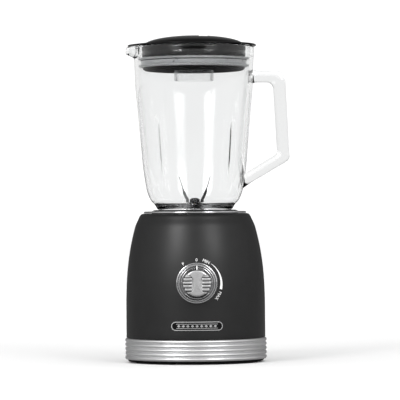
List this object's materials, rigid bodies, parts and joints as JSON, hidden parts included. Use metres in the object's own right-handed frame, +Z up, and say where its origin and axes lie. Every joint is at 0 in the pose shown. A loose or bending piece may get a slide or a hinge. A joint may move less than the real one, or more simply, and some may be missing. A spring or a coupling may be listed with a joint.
{
  "type": "countertop blender",
  "caption": "Countertop blender with a round matte black motor base on a ribbed chrome band, a front speed knob, and a clear glass jug with a moulded handle and a gloss black lid.",
  "frame": {"origin": "on the worktop under the motor's axis, 1.8 mm below the base plate's underside", "axes": "+Z up along the motor's axis, -Y towards the speed knob at the front, +X towards the jug's handle"},
  "size_m": [0.2004, 0.1902, 0.3935],
  "materials": {
    "soft_black": "soft-touch matte black",
    "gloss_black": "gloss black",
    "black_plastic": "fine-grained moulded black",
    "chrome": "bright plated",
    "satin_chrome": "satin plated",
    "steel": "brushed stainless steel",
    "silicon_steel": "laminated core steel",
    "copper": "enamelled copper",
    "brass": "plain brass",
    "carbon": "pressed carbon",
    "rubber": "matte rubber",
    "silicone": "translucent grey silicone",
    "jug_glass": "clear moulded glass",
    "clear_plastic": "clear moulded plastic",
    "board_green": "green circuit board"
  },
  "bodies": {
    "base": {"base_housing": "soft_black", "top_trim_ring": "chrome", "jug_seat": "black_plastic", "trim_band": "chrome", "base_plate": "black_plastic", "foot_front_right": "rubber", "foot_back_right": "rubber", "foot_back_left": "rubber", "foot_front_left": "rubber", "base_screw_front_right": "steel", "base_screw_back_right": "steel", "base_screw_back_left": "steel", "base_screw_front_left": "steel", "badge": "chrome", "cord_inlet": "black_plastic", "knob_bezel": "chrome", "rotary_switch": "black_plastic", "control_board": "board_green", "motor_stator": "silicon_steel", "field_coil_left": "copper", "field_coil_right": "copper", "lower_motor_bracket": "steel", "upper_motor_bracket": "steel", "lower_bearing": "steel", "upper_bearing": "steel", "carbon_brush_front": "carbon", "carbon_brush_back": "carbon", "brush_holder_front": "brass", "brush_holder_back": "brass", "motor_screw_left": "steel", "motor_screw_right": "steel"},
    "rotor": {"motor_shaft": "steel", "armature_core": "copper", "commutator": "copper", "cooling_fan": "black_plastic", "drive_coupling": "black_plastic"},
    "knob": {"speed_knob": "satin_chrome", "knob_spindle": "steel"},
    "jug": {"jug_glass": "jug_glass", "jug_collar": "black_plastic", "jug_gasket": "silicone", "blade_mount": "steel", "shaft_bush": "brass"},
    "blades": {"blade_shaft": "steel", "thrust_washer": "steel", "lower_blade": "steel", "blade_spacer": "steel", "upper_blade": "steel", "cap_nut": "steel", "driven_coupling": "black_plastic"},
    "lid": {"lid_cover": "gloss_black", "lid_plug": "black_plastic", "filler_sleeve": "black_plastic", "lid_seal": "silicone"},
    "cap": {"measuring_cup": "clear_plastic", "filler_cap": "gloss_black"}
  },
  "joints": [
    {"name": "motor_spin", "type": "hinge", "parent": "base", "child": "rotor", "pos_m": [0, 0, 0.091], "axis": [0, 0, 1], "continuous": true},
    {"name": "knob_turn", "type": "hinge", "parent": "base", "child": "knob", "pos_m": [0, -0.094, 0.0968], "axis": [0, 1, 0], "range_deg": [-35, 120]},
    {"name": "jug_lift", "type": "slide", "parent": "base", "child": "jug", "axis": [0, 0, 1], "range_m": [0, 0.08]},
    {"name": "blade_spin", "type": "hinge", "parent": "jug", "child": "blades", "pos_m": [0, 0, 0.19], "axis": [0, 0, 1], "continuous": true},
    {"name": "lid_lift", "type": "slide", "parent": "jug", "child": "lid", "axis": [0, 0, 1], "range_m": [0, 0.08]},
    {"name": "cap_lift", "type": "slide", "parent": "lid", "child": "cap", "axis": [0, 0, 1], "range_m": [0, 0.07]}
  ],
  "couplings": [
    {"joint": "blade_spin", "follows": "motor_spin", "ratio": 1}
  ]
}
